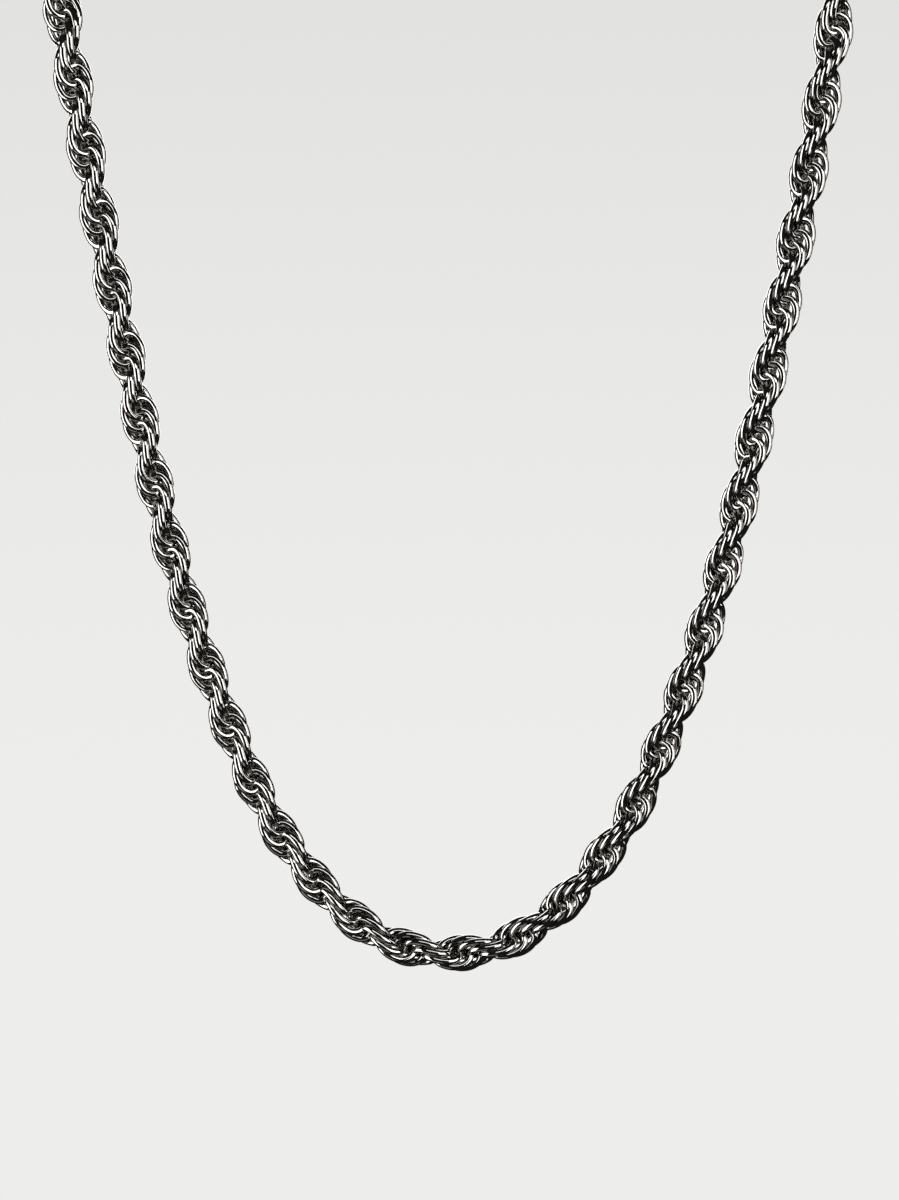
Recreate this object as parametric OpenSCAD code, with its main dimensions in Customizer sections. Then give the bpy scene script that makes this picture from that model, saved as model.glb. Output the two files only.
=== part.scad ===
// Rope chain necklace: one twisted rope with two strands, closed at the back by a barrel clasp.
// Millimetres, in the pose of wear: +Z up, +Y to the back of the neck, X to the wearer's sides.
// The origin is the centre of the neck hollow. The front hangs as a U in one upright plane.

/* [Rope] */
// Width across both strands, where they lie side by side
rope_width = 5; // [4:0.1:5.5]
// Thickness of one strand, which is the rope's width where its strands cross
strand_thickness = 3; // [2.8:0.1:3.8]
// Number of lobes, each half a turn of the twist, between the rope's two ends
lobe_count = 60; // [50:1:70]
// Share of the twist that is gathered around the front's lowest point, where the lobes are shorter
front_crowding = 0.026; // [0:0.002:0.05]
// How far from the lowest point it is gathered, as a share of half the rope
crowding_reach = 0.13; // [0.06:0.01:0.3]

/* [Clasp] */
// Length of the barrel
clasp_length = 16; // [12:0.5:22]
// Depth of the socket in each end of the barrel
socket_depth = 4; // [2:0.5:5]
// Clearance between the rope and its socket, around it and at its end
socket_clearance = 0.12; // [0.1:0.01:0.3]
// Thickness of the barrel's wall around a socket
clasp_wall = 0.9; // [0.6:0.1:1.5]
// Bevel on the barrel's rims
clasp_bevel = 0.5; // [0.2:0.1:0.5]
// Width of the groove around the barrel's middle
groove_width = 0.8; // [0.4:0.1:1.5]
// Depth of the groove around the barrel's middle
groove_depth = 0.4; // [0.2:0.1:0.6]

/* [Hidden] */

// Front plane of the U, and the height and depth at which the clasp lies behind the neck
FRONT_Y = -32;
BACK_Y = 36;
BACK_Z = 5;

// Right half of the rope's middle line, from the lowest point to the clasp
HALF_ROUTE = [
    [0, FRONT_Y, -144], [7.5, FRONT_Y, -142.5], [14, FRONT_Y, -138], [19.5, FRONT_Y, -131.5],
    [24.5, FRONT_Y, -123], [30.5, FRONT_Y, -107.5], [35, FRONT_Y, -92], [38.5, FRONT_Y, -76],
    [41.5, FRONT_Y, -60], [44.3, FRONT_Y, -44], [46.8, FRONT_Y, -28], [49, -28.5, -13],
    [51, -20.5, -2], [52, -8.5, 2.5], [51, 5, 4], [45, 19, 5], [33.5, 29.5, 5],
    [21, 34.5, BACK_Z], [12, BACK_Y, BACK_Z]
];
// A point inside the loop, from which the turn of each section of the rope is counted
HUB = [0, -15, -40];
// Turn of the section's long axis from the direction of the hub, at the lowest point
LOWEST_TURN = 123;
// Length of rope that runs straight before it enters the clasp
LEAD = 1;

socket_radius = rope_width / 2 + socket_clearance;
clasp_radius = socket_radius + clasp_wall;
rope_end_x = clasp_length / 2 - socket_depth + socket_clearance;
straight_x = clasp_length / 2 + LEAD;

// Half the distance between the two strands' middle lines
strand_offset = (rope_width - strand_thickness) / 2;

SIDES = 12;
RINGS_PER_LOBE = 6;
STEPS = 16;
// How far a cut runs past the face that it opens
OVERRUN = 1;

right_half = concat(HALF_ROUTE, [[straight_x, BACK_Y, BACK_Z], [rope_end_x, BACK_Y, BACK_Z]]);
last = len(right_half) - 1;
route = concat(
    [for (i = [last:-1:1]) [-right_half[i][0], right_half[i][1], right_half[i][2]]],
    right_half
);

function unit(v) = v / norm(v);

// A smooth curve through b and c, with a before and d after them
function curve(a, b, c, d, t) =
    (2 * b + (c - a) * t + (2 * a - 5 * b + 4 * c - d) * t * t + (3 * b - a - 3 * c + d) * t * t * t) / 2;

function route_point(i) =
    i < 0 ? 2 * route[0] - route[1] :
    i >= len(route) ? 2 * route[len(route) - 1] - route[len(route) - 2] :
    route[i];

middle_line = concat(
    [for (i = [0:len(route) - 2], j = [0:STEPS - 1])
        curve(route_point(i - 1), route[i], route[i + 1], route_point(i + 2), j / STEPS)],
    [route[len(route) - 1]]
);

// Length along the middle line at each of its points
line_length = [
    for (i = 0, run = 0; i < len(middle_line);
        i = i + 1, run = i < len(middle_line) ? run + norm(middle_line[i] - middle_line[i - 1]) : run)
    run
];
rope_length = line_length[len(line_length) - 1];

// The middle line's X, Y and Z as tables over the length along it
along = [for (k = [0:2]) [for (i = [0:len(middle_line) - 1]) [line_length[i], middle_line[i][k]]]];

function place(s) = [for (k = [0:2]) lookup(s, along[k])];
function heading(s) = unit(place(min(s + 0.5, rope_length)) - place(max(s - 0.5, 0)));

// Turn of the twist at a share u of the rope, from -1 at one end to 1 at the other
function twist(u) =
    let (gathered = atan(u / crowding_reach) / atan(1 / crowding_reach))
    LOWEST_TURN + 90 * lobe_count * ((1 - front_crowding) * u + front_crowding * gathered);

// Radius of the section, two round strands side by side, at an angle from its long axis
function section_radius(angle) =
    strand_offset * abs(cos(angle))
    + sqrt(pow(strand_thickness / 2, 2) - pow(strand_offset * sin(angle), 2));

function ring(s) =
    let (
        u = 2 * s / rope_length - 1,
        ahead = heading(s),
        inward = HUB - place(s),
        up = unit(inward - (inward * ahead) * ahead),
        side = cross(ahead, up)
    )
    [for (j = [0:SIDES - 1])
        let (angle = 360 * j / SIDES, turn = angle + twist(u))
        place(s) + section_radius(angle) * (cos(turn) * up + sin(turn) * side)];

ring_count = lobe_count * RINGS_PER_LOBE;

module rope() {
    points = [for (i = [0:ring_count]) each ring(rope_length * i / ring_count)];
    first_end = [for (j = [0:SIDES - 1]) j];
    last_end = [for (j = [SIDES - 1:-1:0]) ring_count * SIDES + j];
    walls = [for (i = [0:ring_count - 1], j = [0:SIDES - 1])
        let (a = i * SIDES + j, b = i * SIDES + (j + 1) % SIDES)
        each [[a, a + SIDES, b + SIDES], [a, b + SIDES, b]]];
    color([0.42, 0.41, 0.4]) polyhedron(points, concat([first_end], walls, [last_end]));
}

// A barrel on its side, with a socket in each end for the rope
module clasp() {
    half = clasp_length / 2;
    neck = clasp_radius - groove_depth;
    half_profile = [
        [clasp_radius - clasp_bevel, half], [clasp_radius, half - clasp_bevel],
        [clasp_radius, groove_width / 2], [neck, groove_width / 2]
    ];
    profile = concat(
        [[0, half]], half_profile,
        [for (i = [len(half_profile) - 1:-1:0]) [half_profile[i][0], -half_profile[i][1]]],
        [[0, -half]]
    );
    color([0.5, 0.49, 0.48])
    translate([0, BACK_Y, BACK_Z])
    rotate([0, 90, 0])
    difference() {
        rotate_extrude($fn = 64) polygon(profile);
        for (end = [0, 180])
            rotate([end, 0, 0])
            translate([0, 0, half - socket_depth])
            cylinder(h = socket_depth + OVERRUN, r = socket_radius, $fn = 64);
    }
}

rope();
clasp();
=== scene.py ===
"""Rope chain necklace: wire links, finishes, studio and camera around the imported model, in metres."""
import math

import bpy
import numpy as np
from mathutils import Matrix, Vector


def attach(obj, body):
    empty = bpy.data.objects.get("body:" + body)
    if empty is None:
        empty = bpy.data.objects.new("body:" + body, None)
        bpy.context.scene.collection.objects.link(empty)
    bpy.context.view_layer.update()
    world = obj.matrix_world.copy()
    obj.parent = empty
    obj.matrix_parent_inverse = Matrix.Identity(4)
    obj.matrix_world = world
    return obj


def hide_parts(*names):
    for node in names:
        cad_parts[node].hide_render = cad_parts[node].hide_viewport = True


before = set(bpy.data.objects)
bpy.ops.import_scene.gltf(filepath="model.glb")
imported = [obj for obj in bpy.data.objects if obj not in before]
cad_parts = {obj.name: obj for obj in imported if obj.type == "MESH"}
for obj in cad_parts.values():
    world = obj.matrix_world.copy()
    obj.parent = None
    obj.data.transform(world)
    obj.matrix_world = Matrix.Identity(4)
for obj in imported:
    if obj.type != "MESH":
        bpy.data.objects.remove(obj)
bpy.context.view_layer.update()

MM = 0.001

# The rope's route and twist, as in the part's source
FRONT_Y = -32
BACK_Y = 36
BACK_Z = 5
HALF_ROUTE = [
    (0, FRONT_Y, -144), (7.5, FRONT_Y, -142.5), (14, FRONT_Y, -138), (19.5, FRONT_Y, -131.5),
    (24.5, FRONT_Y, -123), (30.5, FRONT_Y, -107.5), (35, FRONT_Y, -92), (38.5, FRONT_Y, -76),
    (41.5, FRONT_Y, -60), (44.3, FRONT_Y, -44), (46.8, FRONT_Y, -28), (49, -28.5, -13),
    (51, -20.5, -2), (52, -8.5, 2.5), (51, 5, 4), (45, 19, 5), (33.5, 29.5, 5),
    (21, 34.5, BACK_Z), (12, BACK_Y, BACK_Z), (9, BACK_Y, BACK_Z), (4.12, BACK_Y, BACK_Z),
]
HUB = np.array([0, -15, -40]) * MM
STEPS = 16
HEADING_REACH = 0.5 * MM
LOBE_COUNT = 60
TURN_PER_LOBE = math.pi
FRONT_CROWDING = 0.026
CROWDING_REACH = 0.13
LOWEST_TURN = math.radians(123)

# One link is an oval ring of wire. Each next one is turned by half a turn and a share of the twist.
LINKS_PER_TURN = 22.35
FIRST_LINK = 1.2
LINK_HALF_WIDTH = 1.5 * MM
LINK_HALF_LENGTH = 2.35 * MM
WIRE_RADIUS = 0.49 * MM
# Distance from the rope's axis to the middle of a link
LINK_OFFSET = 0.43 * MM
# The direction square to a link's plane: its angle from the rope's axis, and around it from outwards
LINK_TILT = math.radians(84)
LINK_YAW = math.radians(80)
# How far the wire leaves the link's plane, twice around the ring, as cosine and sine
LINK_WAVE = (0.15 * MM, -0.26 * MM)
# Turn of the links from the solid rope's long axis
LINK_LEAD = math.radians(14.5)
LINK_SEGMENTS = 36
WIRE_SIDES = 12
# Least distance from the rope's end to the middle of its last link
END_MARGIN = 2.75 * MM
TWIST_SAMPLES = 20001

# The steel's tint in patches per metre, and its darkest and lightest share of the colour
TINT_SCALE = 60
TINT_DETAIL = 3
TINT_RANGE = (0.85, 1.12)
MARK_DETAIL = 2
# Least and greatest share of the roughness
ROUGHNESS_RANGE = (0.7, 1.4)

# Round stage: its floor, the bend up into the wall and the wall's rings
FLOOR_Z = -0.32
FLOOR_RADII = (0.01, 0.3)
FLAT_RADIUS = 0.6
BEND_RADIUS = 0.5
BEND_STEP_DEGREES = 9
WALL_HEIGHTS = (0.7, 1.7)
STAGE_SIDES = 72
# The paper's glow, painted light in place of lamp light, at the floor, and above the height at which it
# stops fading into painted shade
PAINTED_PAPER_LIGHT = (0.85, 0.745)
FADE_TOP_Z = 0.1

# Middle of the front of the chain, at which the lights aim, and their distance from it
MIDDLE = Vector((0, -0.03, -0.09))
LIGHT_DISTANCE = 1.0

# Grey of the surroundings in front of the chain and behind it, and where one fades into the other
AIR_GREY = (0.03, 0.02)
AIR_FADE_Y = (-0.2, 0.6)

# The photo's height and focal length in pixels, and the sensor in millimetres
PHOTO_HEIGHT = 1200
PHOTO_FOCAL = 2509
SENSOR = 36
CAMERA_PLACE = Vector((0, -0.3468, -0.0398))
CAMERA_AIM = Vector((0, -0.032, -0.097))


def unit(v):
    return v / np.linalg.norm(v, axis=-1, keepdims=True)


def middle_line():
    """Points of the rope's middle line, on a smooth curve through the route."""
    half = np.array(HALF_ROUTE, float) * MM
    route = np.vstack([half[:0:-1] * (-1, 1, 1), half])
    ends = [2 * route[0] - route[1]], [2 * route[-1] - route[-2]]
    padded = np.vstack([ends[0], route, ends[1]])
    a, b, c, d = (padded[i:len(route) + i - 1, None] for i in range(4))
    t = (np.arange(STEPS) / STEPS)[None, :, None]
    linear = (c - a) * t
    square = (2 * a - 5 * b + 4 * c - d) * t ** 2
    cubic = (3 * b - a - 3 * c + d) * t ** 3
    points = (2 * b + linear + square + cubic) / 2
    return np.vstack([points.reshape(-1, 3), route[-1:]])


LINE = middle_line()
# Length along the middle line at each of its points
ALONG = np.concatenate([[0], np.cumsum(np.linalg.norm(np.diff(LINE, axis=0), axis=1))])
ROPE_LENGTH = ALONG[-1]


def place(s):
    """Points of the middle line at lengths s along it."""
    return np.stack([np.interp(s, ALONG, LINE[:, k]) for k in range(3)], -1)


def cross_section_axes(s):
    """Along the rope, towards the hub and to the side, at lengths s along the middle line."""
    before, after = np.maximum(s - HEADING_REACH, 0), np.minimum(s + HEADING_REACH, ROPE_LENGTH)
    ahead = unit(place(after) - place(before))
    inward = HUB - place(s)
    up = unit(inward - (inward * ahead).sum(-1, keepdims=True) * ahead)
    return ahead, up, np.cross(ahead, up)


def twist(s):
    """Turn of the solid rope's long axis at lengths s along the middle line."""
    u = 2 * s / ROPE_LENGTH - 1
    gathered = np.arctan(u / CROWDING_REACH) / math.atan(1 / CROWDING_REACH)
    turn_to_end = TURN_PER_LOBE * LOBE_COUNT / 2
    return LOWEST_TURN + turn_to_end * ((1 - FRONT_CROWDING) * u + FRONT_CROWDING * gathered)


def grid_faces(rows, columns):
    """Four-sided faces of a grid of points that closes on itself both ways."""
    i, j = np.meshgrid(np.arange(rows), np.arange(columns), indexing="ij")
    i2, j2 = (i + 1) % rows, (j + 1) % columns
    corners = [i * columns + j, i2 * columns + j, i2 * columns + j2, i * columns + j2]
    return np.stack(corners, -1).reshape(-1, 4)


def link_ring():
    """Points of one ring of wire about the rope's axis, as (outwards, around, along)."""
    turn = (2 * math.pi * np.arange(LINK_SEGMENTS) / LINK_SEGMENTS)[:, None]
    normal = np.array([
        math.sin(LINK_TILT) * math.cos(LINK_YAW),
        math.sin(LINK_TILT) * math.sin(LINK_YAW),
        math.cos(LINK_TILT),
    ])
    long_axis = unit(np.array([0, 0, 1]) - normal[2] * normal)
    short_axis = np.cross(long_axis, normal)
    wave = LINK_WAVE[0] * np.cos(2 * turn) + LINK_WAVE[1] * np.sin(2 * turn)
    oval = LINK_HALF_WIDTH * np.cos(turn) * short_axis + LINK_HALF_LENGTH * np.sin(turn) * long_axis
    wire = oval + wave * normal + np.array([LINK_OFFSET, 0, 0])
    tangent = unit(np.roll(wire, -1, 0) - np.roll(wire, 1, 0))
    outer = unit(np.cross(tangent, normal))
    around = (2 * math.pi * np.arange(WIRE_SIDES) / WIRE_SIDES)[:, None]
    section = np.cos(around) * outer[:, None] + np.sin(around) * np.cross(tangent, outer)[:, None]
    return (wire[:, None] + WIRE_RADIUS * section).reshape(-1, 3)


def all_links():
    """The points of every link, one row each."""
    lengths = np.linspace(0, ROPE_LENGTH, TWIST_SAMPLES)
    turns = twist(lengths) + LINK_LEAD
    step = 2 * math.pi / LINKS_PER_TURN
    number = np.arange(math.ceil(turns[0] / step), math.floor(turns[-1] / step))
    angle = (number + FIRST_LINK) * step
    s = np.interp(angle, turns, lengths)
    kept = (s > END_MARGIN) & (s < ROPE_LENGTH - END_MARGIN)
    number, angle, s = number[kept], angle[kept], s[kept]
    ahead, up, side = cross_section_axes(s)
    angle = angle + math.pi * (number % 2)
    out = np.cos(angle)[:, None] * up + np.sin(angle)[:, None] * side
    axes = np.stack([out, np.cross(ahead, out), ahead], 1)
    return place(s)[:, None] + link_ring() @ axes


def joined_mesh(name, rings):
    """One object that holds the given links."""
    count, size = rings.shape[:2]
    faces = grid_faces(LINK_SEGMENTS, WIRE_SIDES)[None] + size * np.arange(count)[:, None, None]
    mesh = bpy.data.meshes.new(name)
    mesh.from_pydata(rings.reshape(-1, 3).tolist(), [], faces.reshape(-1, 4).tolist())
    mesh.shade_smooth()
    piece = bpy.data.objects.new(name, mesh)
    bpy.context.scene.collection.objects.link(piece)
    return piece


def steel(name, colour, roughness, marks, depth):
    """Steel with a faint uneven tint and fine rubbed marks. Marks is their number per metre along X,
    Y and Z, and depth how far they go into the surface."""
    material = bpy.data.materials.new(name)
    material.use_nodes = True
    nodes, links = material.node_tree.nodes, material.node_tree.links
    shader = nodes["Principled BSDF"]
    shader.inputs["Metallic"].default_value = 1
    position = nodes.new("ShaderNodeTexCoord").outputs["Object"]
    tint = nodes.new("ShaderNodeTexNoise")
    tint.inputs["Scale"].default_value = TINT_SCALE
    tint.inputs["Detail"].default_value = TINT_DETAIL
    links.new(position, tint.inputs["Vector"])
    ramp = nodes.new("ShaderNodeValToRGB")
    for element, share in zip(ramp.color_ramp.elements, TINT_RANGE):
        element.color = (*[share * c for c in colour], 1)
    links.new(tint.outputs["Fac"], ramp.inputs["Fac"])
    links.new(ramp.outputs["Color"], shader.inputs["Base Color"])
    stretch = nodes.new("ShaderNodeMapping")
    stretch.inputs["Scale"].default_value = marks
    links.new(position, stretch.inputs["Vector"])
    rubbed = nodes.new("ShaderNodeTexNoise")
    rubbed.inputs["Scale"].default_value = 1
    rubbed.inputs["Detail"].default_value = MARK_DETAIL
    links.new(stretch.outputs["Vector"], rubbed.inputs["Vector"])
    spread = nodes.new("ShaderNodeMapRange")
    spread.inputs["To Min"].default_value = roughness * ROUGHNESS_RANGE[0]
    spread.inputs["To Max"].default_value = roughness * ROUGHNESS_RANGE[1]
    links.new(rubbed.outputs["Fac"], spread.inputs["Value"])
    links.new(spread.outputs["Result"], shader.inputs["Roughness"])
    relief = nodes.new("ShaderNodeBump")
    relief.inputs["Strength"].default_value = 1
    relief.inputs["Distance"].default_value = depth
    links.new(rubbed.outputs["Fac"], relief.inputs["Height"])
    links.new(relief.outputs["Normal"], shader.inputs["Normal"])
    return material


link_steel = steel("link_steel", (0.25, 0.241, 0.229), 0.06, (2500, 2500, 2500), 0.006 * MM)
# The clasp's marks are brushed lines around the barrel, which lies along X
clasp_steel = steel("clasp_steel", (0.5, 0.485, 0.465), 0.34, (9000, 150, 150), 0.003 * MM)

rings = all_links()
quarter = len(rings) // 4
for name, part in (
    ("links_left_back", rings[:quarter]),
    ("links_left_front", rings[quarter:2 * quarter]),
    ("links_right_front", rings[2 * quarter:3 * quarter]),
    ("links_right_back", rings[3 * quarter:]),
):
    piece = joined_mesh(name, part)
    piece.data.materials.append(link_steel)
    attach(piece, "root")
    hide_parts("rope")

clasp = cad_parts["clasp"]
clasp.data.materials.clear()
clasp.data.materials.append(clasp_steel)


def painted_light_paper():
    """Paper that glows with painted light instead of being lit by the lamps, with painted shade making it
    a little darker up the wall.
    """
    material = bpy.data.materials.new("painted_light_paper")
    material.use_nodes = True
    nodes, links = material.node_tree.nodes, material.node_tree.links
    nodes.clear()
    split = nodes.new("ShaderNodeSeparateXYZ")
    links.new(nodes.new("ShaderNodeTexCoord").outputs["Object"], split.inputs["Vector"])
    # Painted shade: the paper's glow fades from the floor up the wall to a darker tone
    fade = nodes.new("ShaderNodeMapRange")
    fade.inputs["From Min"].default_value = FLOOR_Z
    fade.inputs["From Max"].default_value = FADE_TOP_Z
    fade.inputs["To Min"].default_value = PAINTED_PAPER_LIGHT[0]
    fade.inputs["To Max"].default_value = PAINTED_PAPER_LIGHT[1]
    links.new(split.outputs["Z"], fade.inputs["Value"])
    # Painted light: the paper glows by itself and no lamp lights it
    glow = nodes.new("ShaderNodeEmission")
    glow.inputs["Color"].default_value = (1, 0.998, 0.984, 1)
    links.new(fade.outputs["Result"], glow.inputs["Strength"])
    links.new(glow.outputs["Emission"], nodes.new("ShaderNodeOutputMaterial").inputs["Surface"])
    return material


def make_stage():
    """A round pale floor that curves up into a wall all around. The steel doesn't mirror it."""
    bend = np.radians(np.arange(0, 91, BEND_STEP_DEGREES))
    profile = [(radius, FLOOR_Z) for radius in FLOOR_RADII]
    profile += [
        (FLAT_RADIUS + BEND_RADIUS * math.sin(a), FLOOR_Z + BEND_RADIUS * (1 - math.cos(a))) for a in bend
    ]
    profile += [(FLAT_RADIUS + BEND_RADIUS, height) for height in WALL_HEIGHTS]
    angles = 2 * math.pi * np.arange(STAGE_SIDES) / STAGE_SIDES
    points = [(r * math.sin(a), r * math.cos(a), z) for r, z in profile for a in angles]
    faces = [tuple(range(STAGE_SIDES))]
    for i in range(len(profile) - 1):
        inner, outer = i * STAGE_SIDES, (i + 1) * STAGE_SIDES
        for j in range(STAGE_SIDES):
            k = (j + 1) % STAGE_SIDES
            faces.append((inner + k, inner + j, outer + j, outer + k))
    mesh = bpy.data.meshes.new("studio_cove")
    mesh.from_pydata(points, [], faces)
    mesh.shade_smooth()
    mesh.materials.append(painted_light_paper())
    cove = bpy.data.objects.new("studio_cove", mesh)
    bpy.context.scene.collection.objects.link(cove)
    cove.visible_glossy = False
    cove.visible_shadow = False


def softbox(name, turn, rise, wide, high, radiance):
    """An even area light that the camera doesn't see. Its turn to the right of the camera's side,
    its rise above the chain's middle and its size are in degrees."""
    turn, rise = math.radians(turn), math.radians(rise)
    side, front, up = math.sin(turn) * math.cos(rise), math.cos(turn) * math.cos(rise), math.sin(rise)
    place_of_light = MIDDLE + LIGHT_DISTANCE * Vector((side, -front, up))
    width, height = (2 * LIGHT_DISTANCE * math.tan(math.radians(angle / 2)) for angle in (wide, high))
    light = bpy.data.lights.new(name, "AREA")
    light.shape = "RECTANGLE"
    light.size, light.size_y = width, height
    light.energy = radiance * math.pi * width * height
    lamp = bpy.data.objects.new(name, light)
    lamp.location = place_of_light
    lamp.rotation_euler = (MIDDLE - place_of_light).to_track_quat("-Z", "Y").to_euler()
    lamp.visible_camera = False
    bpy.context.scene.collection.objects.link(lamp)


def studio_air():
    """Dim grey surroundings, a little darker behind the chain than in front of it."""
    world = bpy.data.worlds.new("studio")
    world.use_nodes = True
    nodes, links = world.node_tree.nodes, world.node_tree.links
    split = nodes.new("ShaderNodeSeparateXYZ")
    links.new(nodes.new("ShaderNodeTexCoord").outputs["Generated"], split.inputs["Vector"])
    fade = nodes.new("ShaderNodeMapRange")
    fade.interpolation_type = "SMOOTHSTEP"
    fade.inputs["From Min"].default_value = AIR_FADE_Y[0]
    fade.inputs["From Max"].default_value = AIR_FADE_Y[1]
    fade.inputs["To Min"].default_value = AIR_GREY[0]
    fade.inputs["To Max"].default_value = AIR_GREY[1]
    links.new(split.outputs["Y"], fade.inputs["Value"])
    links.new(fade.outputs["Result"], nodes["Background"].inputs["Color"])
    return world


make_stage()
softbox("window_left", -66, -8, 38, 62, 6.9)
softbox("window_front", 42, 8, 36, 42, 6.9)
softbox("window_right", 86, 4, 10, 44, 6.9)
softbox("window_low", -30, -50, 40, 16, 0.9)
softbox("window_above", 8, 38, 50, 14, 5.4)
softbox("window_back", -172, 16, 50, 46, 4)
bpy.context.scene.world = studio_air()
bpy.context.scene.view_settings.view_transform = "Standard"

camera_data = bpy.data.cameras.new("camera")
camera_data.lens = SENSOR * PHOTO_FOCAL / PHOTO_HEIGHT
camera_data.clip_start = 0.01
camera_data.clip_end = 10
camera = bpy.data.objects.new("camera", camera_data)
camera.location = CAMERA_PLACE
camera.rotation_euler = (CAMERA_AIM - CAMERA_PLACE).to_track_quat("-Z", "Y").to_euler()
bpy.context.scene.collection.objects.link(camera)
bpy.context.scene.camera = camera
